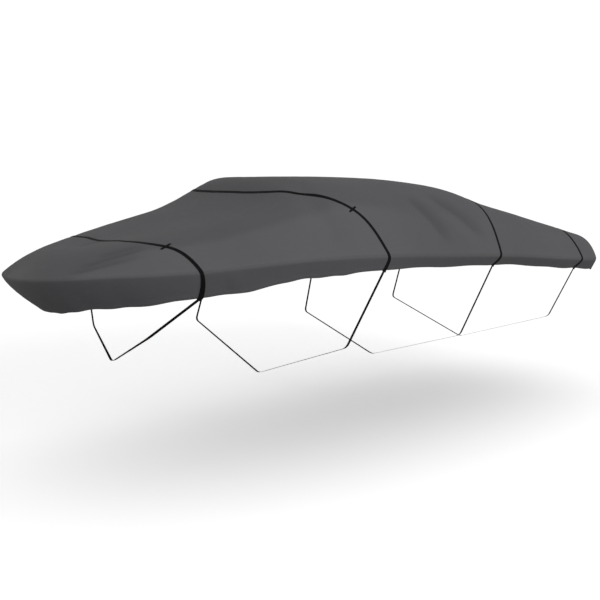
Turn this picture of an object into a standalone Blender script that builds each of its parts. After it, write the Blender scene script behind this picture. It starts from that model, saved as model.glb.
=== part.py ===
"""Boat cover: one fitted cloth shell, drawn down by four webbing straps.

Metres, +Z up, bow towards -X, port towards -Y. The origin is under the middle
of the crown, where the cover rests on what it protects. The cloth is lofted
from a short table of stations that runs from the bow tip, down one side, to
the middle of the stern. Each station is one line over the cover: from the
spine out to the edge, then down the skirt to the hem.
"""

import math
from collections import namedtuple

import bmesh
import bpy
from mathutils import Vector, noise

# Cloth and webbing
CLOTH_THICKNESS = 0.0025
WEBBING_THICKNESS = 0.002
TAB_THICKNESS = 0.0045
OVER_STRAP_WIDTH = 0.025
TAB_WIDTH = 0.038
TIE_WIDTH = 0.020
KEEPER_LENGTH = 0.086
KEEPER_WIDTH = 0.015
KEEPER_THICKNESS = 0.0015
KEEPER_SLOPE = 0.005
KEEPER_OVERHANG = 0.002
KEEPER_TURN = 0.5
SEWN_GAP = 0.0005
KEEPER_GAP = 0.001
KEEPER_FOOT_GAP = 0.0013
BUTT_GAP = 0.0004

# Where the origin lies, from the bow tip and from the lowest point of the bow hem
CROWN_REST_X = 2.30
CROWN_REST_Z = 0.8836

# Density of the cloth's faces
ROWS_PER_METRE = 9.5
TOP_COLUMNS = 14
SKIRT_COLUMNS = 3
EDGE_CROWDING = 1.6

# Unevenness of the cloth
SAG_DEPTH = 0.005
SAG_SCALE = 1.7
HEM_WAVE = 0.005
HEM_SLOW_TURNS = 2.1
HEM_QUICK_TURNS = 5.3
SKIRT_CURL = 1.0
NOSE_CURL = 1.4

# Distances aft of the bow tip and heights above the lowest point of the bow hem.
# The edge is the soft line where the top turns into the skirt. Fullness is the
# power that squares the section: low is a tent, high is a box.
Station = namedtuple(
    "Station",
    "edge_x edge_y edge_z spine_x crown_z fullness hem_aft hem_in hem_drop",
)
STATIONS = [
    Station(0.02, 0.000, 0.248, 0.55, 0.435, 2.4, 0.250, 0.000, 0.232),
    Station(0.045, 0.165, 0.252, 0.57, 0.435, 2.5, 0.235, 0.045, 0.229),
    Station(0.11, 0.315, 0.259, 0.60, 0.435, 2.8, 0.215, 0.080, 0.225),
    Station(0.22, 0.453, 0.267, 0.66, 0.440, 3.4, 0.200, 0.110, 0.218),
    Station(0.40, 0.570, 0.275, 0.76, 0.460, 4.5, 0.170, 0.110, 0.210),
    Station(0.65, 0.690, 0.279, 0.90, 0.492, 5.6, 0.100, 0.090, 0.196),
    Station(0.95, 0.800, 0.287, 1.08, 0.540, 6.0, 0.040, 0.080, 0.177),
    Station(1.25, 0.890, 0.305, 1.32, 0.600, 5.5, 0.010, 0.070, 0.165),
    Station(1.50, 0.950, 0.319, 1.52, 0.662, 5.0, 0.000, 0.060, 0.142),
    Station(1.72, 0.990, 0.327, 1.73, 0.751, 4.6, 0.000, 0.056, 0.132),
    Station(1.92, 1.020, 0.330, 1.92, 0.872, 3.6, 0.000, 0.053, 0.124),
    Station(2.12, 1.040, 0.327, 2.12, 0.887, 5.0, 0.000, 0.050, 0.117),
    Station(2.60, 1.065, 0.312, 2.60, 0.885, 5.0, 0.000, 0.046, 0.104),
    Station(3.10, 1.080, 0.283, 3.10, 0.865, 5.0, 0.000, 0.042, 0.086),
    Station(3.60, 1.083, 0.255, 3.60, 0.805, 5.0, 0.000, 0.042, 0.083),
    Station(4.10, 1.080, 0.220, 4.06, 0.685, 5.0, 0.000, 0.042, 0.083),
    Station(4.60, 1.075, 0.175, 4.50, 0.585, 5.0, 0.000, 0.042, 0.083),
    Station(5.00, 1.070, 0.140, 4.88, 0.488, 6.0, 0.000, 0.042, 0.090),
    Station(5.30, 1.062, 0.118, 5.10, 0.392, 9.5, -0.010, 0.042, 0.099),
    Station(5.50, 0.995, 0.110, 5.18, 0.350, 12.0, -0.035, 0.038, 0.101),
    Station(5.58, 0.830, 0.108, 5.24, 0.342, 10.0, -0.045, 0.018, 0.101),
    Station(5.615, 0.485, 0.107, 5.27, 0.336, 8.0, -0.045, 0.004, 0.100),
    Station(5.62, 0.000, 0.107, 5.28, 0.335, 7.0, -0.045, 0.000, 0.100),
]
LAST_STATION = len(STATIONS) - 1
SPINE_STEP = 0.05
SPINE_REACH = 0.25

# Each strap crosses the cover on a line of (across, station) points: across is
# 0 at the spine and 1 at the edge. Its tab runs on down the skirt, slanting
# forward with a belly aft, and passes the hem by a little. From there the tie is
# drawn tight to its turn at the side (x, y, z) and its low point under the
# middle (x, z). Flare is how far outwards its flat turns for each metre aft.
Strap = namedtuple(
    "Strap", "name line slant belly flare tab_past_hem side_turn low_point keeper_across"
)
BOW_LINE = [(0.0, 3.1), (0.3, 4.2), (0.5, 4.55), (0.7, 5.0), (0.86, 5.55), (1.0, 5.9)]
FORE_LINE = [(0.0, 9.2), (0.4, 9.3), (0.6, 9.8), (0.7, 10.4), (0.85, 11.25), (1.0, 11.63)]
AFT_LINE = [(0.0, 14.76), (0.72, 14.54), (1.0, 14.36)]
STERN_LINE = [(0.0, 19.2), (0.3, 18.3), (0.5, 17.97), (0.85, 17.42), (1.0, 17.37)]
STRAPS = [
    Strap("bow", BOW_LINE, 0.000, 0.016, 0.80, 0.020, (0.800, 0.350, -0.175), (0.73, -0.377), 0.80),
    Strap("fore", FORE_LINE, 0.010, 0.010, 0.20, 0.010, (2.122, 0.900, -0.338), (2.06, -0.655), 0.84),
    Strap("aft", AFT_LINE, 0.070, 0.012, 0.05, 0.008, (3.447, 0.920, -0.402), (3.40, -0.685), None),
    Strap("stern", STERN_LINE, 0.085, 0.005, 0.00, 0.008, (4.76, 0.940, -0.380), (4.70, -0.680), None),
]
TIE_CORNER = 0.035
SIDE_NAMES = {-1: "port", 1: "starboard"}

# Folds run between two (station, across) points. Side is -1 port, +1 starboard.
# Positive depth is a trough, negative a ridge.
Fold = namedtuple("Fold", "side start end depth width")
FOLDS = [
    # creases that fan out from the bow strap's keeper towards the bow tip
    Fold(-1, (5.08, 0.76), (2.70, 0.875), 0.013, 0.032),
    Fold(-1, (4.95, 0.84), (2.40, 0.945), 0.010, 0.028),
    Fold(-1, (5.05, 0.90), (2.20, 0.975), -0.005, 0.035),
    Fold(+1, (5.00, 0.82), (2.60, 0.88), 0.009, 0.035),
    Fold(+1, (4.90, 0.90), (3.10, 0.96), -0.005, 0.035),
    # slack folds that fall aft and down between the two middle straps
    Fold(-1, (12.50, 0.74), (13.15, 0.985), 0.022, 0.060),
    Fold(-1, (13.00, 0.70), (14.18, 0.965), 0.024, 0.065),
    Fold(-1, (12.95, 0.84), (13.65, 0.975), -0.010, 0.055),
    Fold(+1, (12.90, 0.70), (13.75, 0.95), 0.017, 0.060),
    Fold(+1, (12.30, 0.78), (12.80, 0.97), 0.012, 0.050),
    Fold(+1, (15.20, 0.76), (15.85, 0.95), 0.014, 0.055),
    # soft ridges where the corners of the raised middle push the cloth out
    Fold(-1, (5.60, 0.87), (10.70, 0.81), -0.016, 0.150),
    Fold(+1, (5.60, 0.86), (10.40, 0.81), -0.014, 0.150),
    # the skirt puckers behind the bow strap's tab
    Fold(-1, (6.55, 1.05), (6.75, 1.90), -0.007, 0.045),
    Fold(+1, (6.70, 1.05), (6.90, 1.90), -0.006, 0.045),
]
FOLD_STEPS = 12
FOLD_FADE = 0.3

CHARCOAL = (0.105, 0.105, 0.112, 1.0)
CLOTH_ROUGHNESS = 0.8
BLACK = (0.012, 0.012, 0.013, 1.0)
WEBBING_ROUGHNESS = 0.75


# ---------------------------------------------------------------- cloth surface


def smooth_step(value):
    value = min(max(value, 0.0), 1.0)
    return value * value * (3.0 - 2.0 * value)


def station_at(along):
    """The station values at a fractional place along the table (Catmull-Rom)."""
    along = min(max(along, 0.0), float(LAST_STATION))
    index = min(int(along), LAST_STATION - 1)
    part = along - index

    def row(number):
        if number < 0 or number > LAST_STATION:
            mirrored = abs(number) if number < 0 else 2 * LAST_STATION - number
            return STATIONS[mirrored]._replace(
                edge_y=-STATIONS[mirrored].edge_y,
                hem_in=-STATIONS[mirrored].hem_in,
            )
        return STATIONS[number]

    before, near, far, beyond = (row(index + step) for step in (-1, 0, 1, 2))
    return Station(
        *(
            0.5
            * (
                2.0 * b
                + (c - a) * part
                + (2.0 * a - 5.0 * b + 4.0 * c - d) * part**2
                + (3.0 * b - a - 3.0 * c + d) * part**3
            )
            for a, b, c, d in zip(before, near, far, beyond)
        )
    )


def to_frame(x, y, z):
    return Vector((x - CROWN_REST_X, y, z - CROWN_REST_Z))


def spine_lift(along, across):
    """How far the cloth is raised near the spine.

    The stations are swept, so where the crown changes from one to the next they
    would leave a valley along the spine. This fills it.
    """
    near, here, far = (station_at(along + step) for step in (-SPINE_STEP, 0.0, SPINE_STEP))
    valley = (far.crown_z - near.crown_z) * (here.spine_x - here.edge_x)
    valley /= far.spine_x - near.spine_x
    return valley * SPINE_REACH * (1.0 - across) * math.exp(-across / SPINE_REACH)


def cloth_point(along, across, side):
    """A point of the smooth cloth: across 0 is the spine, 1 the edge, 2 the hem."""
    here = station_at(along)
    if across <= 1.0:
        x = here.spine_x + (here.edge_x - here.spine_x) * across
        height = 1.0 - across**here.fullness
        z = here.edge_z + (here.crown_z - here.edge_z) * height
        z += spine_lift(along, across)
        return to_frame(x, side * here.edge_y * across, z)
    down = across - 1.0
    wave = math.sin(HEM_SLOW_TURNS * along + side)
    wave += 0.6 * math.sin(HEM_QUICK_TURNS * along - 2.0 * side)
    fade = smooth_step(along / 2.0) * smooth_step((LAST_STATION - along) / 2.0)
    x = here.edge_x + here.hem_aft * down**NOSE_CURL
    y = here.edge_y - here.hem_in * down**SKIRT_CURL
    z = here.edge_z - (here.hem_drop + HEM_WAVE * wave * fade) * down
    return to_frame(x, side * max(y, 0.0), z)


def across_columns():
    """Spine to hem, crowded towards the edge where the cloth turns over."""
    top = [
        1.0 - (1.0 - step / TOP_COLUMNS) ** EDGE_CROWDING
        for step in range(TOP_COLUMNS + 1)
    ]
    skirt = [1.0 + step / SKIRT_COLUMNS for step in range(1, SKIRT_COLUMNS + 1)]
    return top + skirt


ACROSS = across_columns()


def strap_station(strap, across):
    """The station that a strap's line has reached at a place across the cover.

    The line is a smooth curve through its points, and square at the spine.
    """
    points = strap.line
    last = len(points) - 1
    across = min(across, 1.0)

    def slope(number):
        if number == 0:
            here = station_at(points[0][1])
            past = station_at(points[0][1] + SPINE_STEP)
            return SPINE_STEP * (here.spine_x - here.edge_x) / (past.spine_x - here.spine_x)
        (near, low), (far, high) = points[number - 1], points[min(number + 1, last)]
        return (high - low) / (far - near)

    number = next(step for step in range(last) if across <= points[step + 1][0])
    (start, first), (end, second) = points[number], points[number + 1]
    part = (across - start) / (end - start)
    leave = part * (1.0 - part) ** 2 * slope(number)
    arrive = part**2 * (1.0 - part) * slope(number + 1)
    return first + (second - first) * smooth_step(part) + (leave - arrive) * (end - start)


def strap_edge(strap, across, offset):
    """A strap's line moved fore or aft by a distance square to the strap's run."""
    along = strap_station(strap, across)
    step = 0.05
    span = cloth_point(along + step, across, 1) - cloth_point(along - step, across, 1)
    near, far = max(min(across, 1.0) - step, 0.0), min(across + step, 1.0)
    run = cloth_point(strap_station(strap, far), far, 1)
    run -= cloth_point(strap_station(strap, near), near, 1)
    offset *= span.length * run.length / span.cross(run).length
    down = max(across - 1.0, 0.0)
    offset += strap.belly * 4.0 * down * (1.0 - down) - strap.slant * down
    return along + offset * 2.0 * step / span.length


def row_lines():
    """Every row of the cloth's grid, and the row at each strap's fore edge.

    The rows between two straps are blended from the one to the other, so that
    every strap lies exactly between two rows.
    """
    lines = [[0.0 for across in ACROSS]]
    strap_rows = {}
    half = OVER_STRAP_WIDTH / 2.0
    edge = ACROSS.index(1.0)
    for strap in STRAPS + [None]:
        if strap:
            target = [strap_edge(strap, across, -half) for across in ACROSS]
        else:
            target = [float(LAST_STATION) for across in ACROSS]
        start = lines[-1]
        gap = cloth_point(target[edge], 1.0, 1) - cloth_point(start[edge], 1.0, 1)
        count = max(2, round(gap.length * ROWS_PER_METRE))
        for step in range(1, count + 1):
            part = step / count
            lines.append([a + (b - a) * part for a, b in zip(start, target)])
        if strap:
            strap_rows[strap.name] = len(lines) - 1
            lines.append([strap_edge(strap, across, half) for across in ACROSS])
    return lines, strap_rows


def fold_path(fold):
    """Points on the cloth along one fold."""
    path = []
    for step in range(FOLD_STEPS + 1):
        part = step / FOLD_STEPS
        along = fold.start[0] + (fold.end[0] - fold.start[0]) * part
        across = fold.start[1] + (fold.end[1] - fold.start[1]) * part
        path.append(cloth_point(along, across, fold.side))
    return path


def path_distance(point, path):
    """Shortest distance to a path, and how far along the path that is (0 to 1)."""
    best = (math.inf, 0.0)
    pieces = len(path) - 1
    for number, (start, end) in enumerate(zip(path, path[1:])):
        run = end - start
        part = min(max((point - start).dot(run) / run.length_squared, 0.0), 1.0)
        distance = (point - (start + run * part)).length
        if distance < best[0]:
            best = (distance, (number + part) / pieces)
    return best


def cloth_relief(point, fold_paths):
    """How far the cloth stands in (-) or out (+) from its smooth form."""
    relief = SAG_DEPTH * noise.noise(point * SAG_SCALE)
    for fold, path in fold_paths:
        distance, place = path_distance(point, path)
        if distance < 3.0 * fold.width:
            ends = smooth_step(place / FOLD_FADE) * smooth_step((1.0 - place) / FOLD_FADE)
            relief -= fold.depth * ends * math.exp(-((distance / fold.width) ** 2))
    return relief


# --------------------------------------------------------------- mesh helpers


def new_material(name, colour, roughness):
    material = bpy.data.materials.new(name)
    material.use_nodes = True
    shader = material.node_tree.nodes["Principled BSDF"]
    shader.inputs["Base Color"].default_value = colour
    shader.inputs["Roughness"].default_value = roughness
    shader.inputs["Metallic"].default_value = 0.0
    return material


def new_object(name, mesh, colour, roughness, collection):
    thing = bpy.data.objects.new(name, mesh)
    mesh.materials.append(new_material(name, colour, roughness))
    collection.objects.link(thing)
    return thing


def add_thickness(thing, thickness, offset):
    solid = thing.modifiers.new("thickness", "SOLIDIFY")
    solid.thickness = thickness
    solid.offset = offset
    solid.use_even_offset = True
    solid.use_rim = True


def ribbon(name, left, right, thickness, collection):
    """A webbing strip between two rows of points, thickened outwards."""
    shape = bmesh.new()
    rows = [(shape.verts.new(a), shape.verts.new(b)) for a, b in zip(left, right)]
    for (a, b), (c, d) in zip(rows, rows[1:]):
        shape.faces.new((a, c, d, b))
    mesh = bpy.data.meshes.new(name)
    shape.to_mesh(mesh)
    shape.free()
    thing = new_object(name, mesh, BLACK, WEBBING_ROUGHNESS, collection)
    add_thickness(thing, thickness, 1.0)
    return thing


# -------------------------------------------------------------------- pieces


def build_cover(collection):
    """The cloth, and the grid of its outer points for the pieces sewn to it."""
    lines, strap_rows = row_lines()
    shape = bmesh.new()
    last_row = len(lines) - 1
    columns = len(ACROSS) - 1
    grid = []
    for number, line in enumerate(lines):
        row = {}
        for column in range(-columns, columns + 1):
            if number in (0, last_row) and column < 0:
                continue
            side = 1 if column < 0 else -1
            spot = abs(column)
            row[column] = shape.verts.new(cloth_point(line[spot], ACROSS[spot], side))
        if number in (0, last_row):
            row.update({-column: vert for column, vert in list(row.items())})
        grid.append(row)
    for number in range(last_row):
        for column in range(-columns, columns):
            near, far = grid[number], grid[number + 1]
            shape.faces.new(
                (near[column], near[column + 1], far[column + 1], far[column])
            )
    shape.normal_update()
    fold_paths = [(fold, fold_path(fold)) for fold in FOLDS]
    moves = [
        (vert, vert.normal * cloth_relief(vert.co, fold_paths)) for vert in shape.verts
    ]
    for vert, move in moves:
        on_middle = abs(vert.co.y) < 1e-6
        vert.co += Vector((move.x, 0.0, move.z)) if on_middle else move
    shape.normal_update()
    points = [
        {column: (vert.co.copy(), vert.normal.copy()) for column, vert in row.items()}
        for row in grid
    ]
    mesh = bpy.data.meshes.new("cover")
    shape.to_mesh(mesh)
    shape.free()
    cover = new_object("cover", mesh, CHARCOAL, CLOTH_ROUGHNESS, collection)
    add_thickness(cover, CLOTH_THICKNESS, -1.0)
    return points, strap_rows


def on_cloth(points, row, column, lift):
    """The cloth's outer face at a fractional row and column, lifted off it."""
    row_low = min(math.floor(row), len(points) - 2)
    column_low = min(math.floor(column), len(ACROSS) - 2)
    row_part, column_part = row - row_low, column - column_low

    def corner(row_step, column_step):
        place, normal = points[row_low + row_step][column_low + column_step]
        return place + normal * lift

    near = corner(0, 0).lerp(corner(0, 1), column_part)
    far = corner(1, 0).lerp(corner(1, 1), column_part)
    return near.lerp(far, row_part)


def build_over_strap(strap, points, row, collection):
    """The strap over the top, from edge to edge, on the cloth's own two rows."""
    reach = ACROSS.index(1.0)
    fore, aft = (
        [on_cloth(points, line, column, SEWN_GAP) for column in range(-reach, reach + 1)]
        for line in (row, row + 1)
    )
    ribbon("over_strap_" + strap.name, fore, aft, WEBBING_THICKNESS, collection)


def width_vector(strap, direction, y):
    """The fore-and-aft direction with the strap's flare, squared to its own run."""
    share = min(max(y / strap.side_turn[1], -1.0), 1.0)
    aft = Vector((1.0, strap.flare * share, 0.0))
    return (aft - direction * aft.dot(direction)).normalized()


def build_tab(strap, points, row, side, collection):
    """The doubled webbing over the skirt; returns where its tie leaves it."""
    reach, hem = ACROSS.index(1.0), len(ACROSS) - 1
    fore, aft = [], []
    for column in range(reach, hem + 1):
        near, far = (
            on_cloth(points, line, -side * column, SEWN_GAP) for line in (row, row + 1)
        )
        down = (column - reach) / (hem - reach)
        width = OVER_STRAP_WIDTH + (TAB_WIDTH - OVER_STRAP_WIDTH) * down
        middle, half = (near + far) / 2.0, (far - near).normalized() * width / 2.0
        fore.append(middle - half)
        aft.append(middle + half)
    fall = ((fore[1] + aft[1]) - (fore[0] + aft[0])).normalized()
    fore[0] += fall * BUTT_GAP
    aft[0] += fall * BUTT_GAP
    middle = (fore[-1] + aft[-1]) / 2.0
    turn = to_frame(strap.side_turn[0], side * strap.side_turn[1], strap.side_turn[2])
    pull = (turn - middle).normalized()
    end = middle + pull * strap.tab_past_hem
    half = width_vector(strap, pull, end.y) * TAB_WIDTH / 2.0
    fore.append(end - half)
    aft.append(end + half)
    if side > 0:
        fore.reverse()
        aft.reverse()
    ribbon(f"tab_{strap.name}_{SIDE_NAMES[side]}", fore, aft, TAB_THICKNESS, collection)
    return end + pull * BUTT_GAP


def rounded(before, corner, after, radius):
    """Three points that ease a route round a corner."""
    start = corner + (before - corner).normalized() * radius
    end = corner + (after - corner).normalized() * radius
    return [start, (start + end + 2.0 * corner) / 4.0, end]


def build_tie(strap, port_end, starboard_end, collection):
    """The taut webbing from the port tab, down and under, to the starboard tab."""
    low_point = to_frame(strap.low_point[0], 0.0, strap.low_point[1])
    turns = [
        to_frame(strap.side_turn[0], side * strap.side_turn[1], strap.side_turn[2])
        for side in (-1, 1)
    ]
    route = [port_end]
    route += rounded(port_end, turns[0], low_point, TIE_CORNER)
    route += rounded(turns[0], low_point, turns[1], TIE_CORNER)
    route += rounded(low_point, turns[1], starboard_end, TIE_CORNER)
    route.append(starboard_end)
    fore, aft = [], []
    for number, point in enumerate(route):
        ahead = route[min(number + 1, len(route) - 1)]
        behind = route[max(number - 1, 0)]
        half = width_vector(strap, (ahead - behind).normalized(), point.y) * TIE_WIDTH / 2.0
        fore.append(point - half)
        aft.append(point + half)
    ribbon("tie_" + strap.name, fore, aft, WEBBING_THICKNESS, collection)


def build_keeper(strap, points, row, side, collection):
    """The short webbing bridge, sewn fore and aft of a strap, that holds it."""
    column = next(
        number + (strap.keeper_across - near) / (far - near)
        for number, (near, far) in enumerate(zip(ACROSS, ACROSS[1:]))
        if far > strap.keeper_across
    )
    column *= -side

    def cloth_span(low_row):
        near = on_cloth(points, low_row, column, 0.0)
        return on_cloth(points, low_row + 1, column, 0.0) - near

    step = 0.1
    inboard = on_cloth(points, row, column + side * step, 0.0)
    inboard -= on_cloth(points, row, column, 0.0)
    columns_per_metre = step / inboard.length
    # how far aft and square to the strap the keeper gets for each metre of its length
    lean = cloth_span(row).normalized().dot(inboard.normalized())
    aft_share = 1.0 / math.sqrt(1.0 + 2.0 * KEEPER_TURN * lean + KEEPER_TURN**2)
    square_share = aft_share * math.sqrt(1.0 - lean**2)
    half_width = columns_per_metre * KEEPER_WIDTH / 2.0 / square_share
    half_strap = cloth_span(row).length / 2.0
    over_strap = SEWN_GAP + WEBBING_THICKNESS + KEEPER_GAP
    bridge = half_strap / aft_share + KEEPER_OVERHANG / square_share
    profile = [(-KEEPER_LENGTH / 2.0, KEEPER_FOOT_GAP)]
    profile += [(-bridge - KEEPER_SLOPE, KEEPER_FOOT_GAP), (-bridge, over_strap)]
    profile += [(-distance, lift) for distance, lift in reversed(profile)]
    lower, upper = [], []
    for distance, lift in profile:
        aft = aft_share * distance
        if aft < 0.0:
            line = row + (aft + half_strap) / cloth_span(row - 1).length
        else:
            line = row + 1.0 + (aft - half_strap) / cloth_span(row + 1).length
        # the aft end is turned inboard; the edge with the smaller Y comes first
        place = column + side * KEEPER_TURN * aft * columns_per_metre
        lower.append(on_cloth(points, line, place + half_width, lift))
        upper.append(on_cloth(points, line, place - half_width, lift))
    ribbon(f"keeper_{strap.name}_{SIDE_NAMES[side]}", lower, upper, KEEPER_THICKNESS, collection)


def clear_scene():
    for thing in list(bpy.data.objects):
        bpy.data.objects.remove(thing)


def build():
    clear_scene()
    collection = bpy.data.collections.new("boat_cover")
    bpy.context.scene.collection.children.link(collection)
    points, strap_rows = build_cover(collection)
    for strap in STRAPS:
        row = strap_rows[strap.name]
        build_over_strap(strap, points, row, collection)
        ends = [build_tab(strap, points, row, side, collection) for side in (-1, 1)]
        build_tie(strap, ends[0], ends[1], collection)
        if strap.keeper_across:
            for side in (-1, 1):
                build_keeper(strap, points, row, side, collection)


build()
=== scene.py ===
# %% [markdown]
# # A fitted cover, drawn down by webbing
#
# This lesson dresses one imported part: a charcoal cloth cover, 5.6 m long, with
# a pointed bow and a raised middle. The solids of the part fix where everything
# is. The cells below lay a finer cloth over them, sew webbing and stitches to
# it, and give each surface its weave. Metres throughout, bow towards -X.

# %% Load the fixed frame
import math
from collections import namedtuple

import bmesh
import bpy
import numpy as np
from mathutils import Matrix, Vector, noise


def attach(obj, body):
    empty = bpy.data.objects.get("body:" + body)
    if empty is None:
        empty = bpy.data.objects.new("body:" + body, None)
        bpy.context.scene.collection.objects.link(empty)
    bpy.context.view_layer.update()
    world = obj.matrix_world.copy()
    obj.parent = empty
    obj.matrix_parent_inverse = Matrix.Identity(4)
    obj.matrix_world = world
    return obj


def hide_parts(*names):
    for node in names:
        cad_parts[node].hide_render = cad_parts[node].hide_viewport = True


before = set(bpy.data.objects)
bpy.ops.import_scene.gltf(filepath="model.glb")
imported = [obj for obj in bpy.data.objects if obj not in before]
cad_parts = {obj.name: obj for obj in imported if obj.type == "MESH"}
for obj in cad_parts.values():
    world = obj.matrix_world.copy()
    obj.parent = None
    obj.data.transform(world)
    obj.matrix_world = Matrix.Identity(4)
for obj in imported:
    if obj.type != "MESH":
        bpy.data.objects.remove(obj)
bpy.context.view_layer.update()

# %% [markdown]
# ## The view
#
# The camera stands to port of the bow, a little above the hem, and looks
# slightly down. A lens a little longer than normal keeps the long shape from
# bending.

# %% Camera
CAMERA_PLACE = (-4.766, -5.281, -0.0066)
CAMERA_DOWN = 7.79
CAMERA_TURN = -43.3
LENS_MM = 53.52
SENSOR_MM = 36.0


def new_object(name, data):
    """A new object, linked into the scene."""
    thing = bpy.data.objects.new(name, data)
    bpy.context.scene.collection.objects.link(thing)
    return thing


camera_data = bpy.data.cameras.new("view")
camera_data.lens = LENS_MM
camera_data.sensor_width = SENSOR_MM
camera = new_object("view", camera_data)
camera.location = CAMERA_PLACE
camera.rotation_euler = (math.radians(90.0 - CAMERA_DOWN), 0.0, math.radians(CAMERA_TURN))
bpy.context.scene.camera = camera
print("camera:", CAMERA_PLACE, "lens", LENS_MM, "mm")

# %% [markdown]
# ## The stage and the light
#
# The stage is one round sheet of pale paper, half a metre below the lowest
# strap. Its colour fades out to the white of the sky a few metres away, so no
# horizon cuts the picture. A dark matt cloth shows its form only by small steps
# of tone. One broad light stands well out to port and not far above the floor,
# so that the sloping side is the brightest, the flat top a little less, and the
# skirt, which is tucked under, clearly darker. The standard view transform
# leaves those tones as they are. To the lens alone the paper and the sky are
# brighter than the light that they give, so they show white.

# %% Helpers for node trees
def feed(tree, node, inputs):
    """Fills sockets from a table: a socket is linked, and a plain value written in."""
    for title, source in inputs.items():
        if isinstance(source, bpy.types.NodeSocket):
            tree.links.new(source, node.inputs[title])
        else:
            node.inputs[title].default_value = source


def add_node(tree, kind, inputs=None, **settings):
    """A new node with its settings made first, and then its sockets filled."""
    node = tree.nodes.new(kind)
    for name, value in settings.items():
        setattr(node, name, value)
    feed(tree, node, inputs or {})
    return node


def calculate(tree, operation, *values):
    """One Math node; values are sockets or numbers."""
    node = add_node(tree, "ShaderNodeMath", dict(enumerate(values)), operation=operation)
    return node.outputs[0]


def scaled(tree, value, factor, plus=0.0):
    """A value times a factor, plus another."""
    return calculate(tree, "MULTIPLY_ADD", value, factor, plus)


def blend_colours(tree, share, first, second):
    inputs = {"Factor": share, "A": first, "B": second}
    return add_node(tree, "ShaderNodeMix", inputs, data_type="RGBA").outputs["Result"]


print("helpers are ready")

# %% The sky
SKY_STRENGTH = 0.64
BACKDROP_STRENGTH = 1.03
WHITE = (1.0, 1.0, 1.0, 1.0)


def seen_by_lens(tree):
    return add_node(tree, "ShaderNodeLightPath").outputs["Is Camera Ray"]


sky = bpy.data.worlds.new("studio_sky")
sky.use_nodes = True
tree = sky.node_tree
brightness = scaled(tree, seen_by_lens(tree), BACKDROP_STRENGTH - SKY_STRENGTH, SKY_STRENGTH)
feed(tree, tree.nodes["Background"], {"Color": WHITE, "Strength": brightness})
bpy.context.scene.world = sky
bpy.context.scene.view_settings.view_transform = "Standard"
print("sky:", SKY_STRENGTH, "behind the part:", BACKDROP_STRENGTH)

# %% The floor
FLOOR_Z = -2.0686
FLOOR_MIDDLE_X = 0.5
FLOOR_RADIUS = 400.0
FLOOR_SIDES = 96
FADE_FROM = 3.0
FADE_TO = 9.0
PAPER_GREY = 0.48
PAPER_TO_LENS = 1.48


def stage_paper():
    """Matt paper that fades to the backdrop's white with distance from the middle."""
    paper = bpy.data.materials.new("stage_paper")
    paper.use_nodes = True
    tree = paper.node_tree
    tree.nodes.remove(tree.nodes["Principled BSDF"])
    seen = seen_by_lens(tree)
    tone = scaled(tree, seen, PAPER_TO_LENS - PAPER_GREY, PAPER_GREY)
    matt = add_node(tree, "ShaderNodeBsdfDiffuse", {"Color": tone})
    place = add_node(tree, "ShaderNodeTexCoord").outputs["Object"]
    flat = {0: place, 1: (1.0, 1.0, 0.0)}
    flat = add_node(tree, "ShaderNodeVectorMath", flat, operation="MULTIPLY").outputs[0]
    length = add_node(tree, "ShaderNodeVectorMath", {0: flat}, operation="LENGTH").outputs["Value"]
    limits = {"Value": length, "From Min": FADE_FROM, "From Max": FADE_TO}
    fade = add_node(tree, "ShaderNodeMapRange", limits, interpolation_type="SMOOTHERSTEP")
    glow = add_node(tree, "ShaderNodeEmission", {"Color": WHITE, "Strength": BACKDROP_STRENGTH})
    share = calculate(tree, "MULTIPLY", fade.outputs["Result"], seen)
    mix = {0: share, 1: matt.outputs[0], 2: glow.outputs[0]}
    mix = add_node(tree, "ShaderNodeMixShader", mix)
    feed(tree, tree.nodes["Material Output"], {"Surface": mix.outputs[0]})
    return paper


shape = bmesh.new()
bmesh.ops.create_circle(shape, cap_ends=True, segments=FLOOR_SIDES, radius=FLOOR_RADIUS)
bmesh.ops.translate(shape, verts=shape.verts, vec=(FLOOR_MIDDLE_X, 0.0, FLOOR_Z))
floor_mesh = bpy.data.meshes.new("stage_floor")
shape.to_mesh(floor_mesh)
shape.free()
floor_mesh.materials.append(stage_paper())
new_object("stage_floor", floor_mesh)
print("floor at", FLOOR_Z)

# %% The key light
KEY_PLACE = (0.0, -13.0, 4.2)
KEY_AIM = (0.3, 0.0, -0.3)
KEY_SIZE = 5.0
KEY_POWER = 660.0

key_data = bpy.data.lights.new("key", "AREA")
key_data.shape = "DISK"
key_data.size = KEY_SIZE
key_data.energy = KEY_POWER
key = new_object("key", key_data)
key.location = KEY_PLACE
key.rotation_euler = (Vector(KEY_AIM) - Vector(KEY_PLACE)).to_track_quat("-Z", "Y").to_euler()
print("key light:", KEY_POWER, "W")

# %% [markdown]
# ## The cut of the cloth
#
# A cover like this is drawn as sections. Each row of the table is one line over
# the cover, from the spine out to the edge and down the skirt to the hem. The
# rows run from the bow tip, down one side, to the middle of the stern.
# `fullness` squares a section: low is a tent, high is a box. A smooth curve
# through the rows (Catmull-Rom) gives every line between them, and it is the
# same cut as the solid has, so the fine cloth lies where the solid lies.

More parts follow.
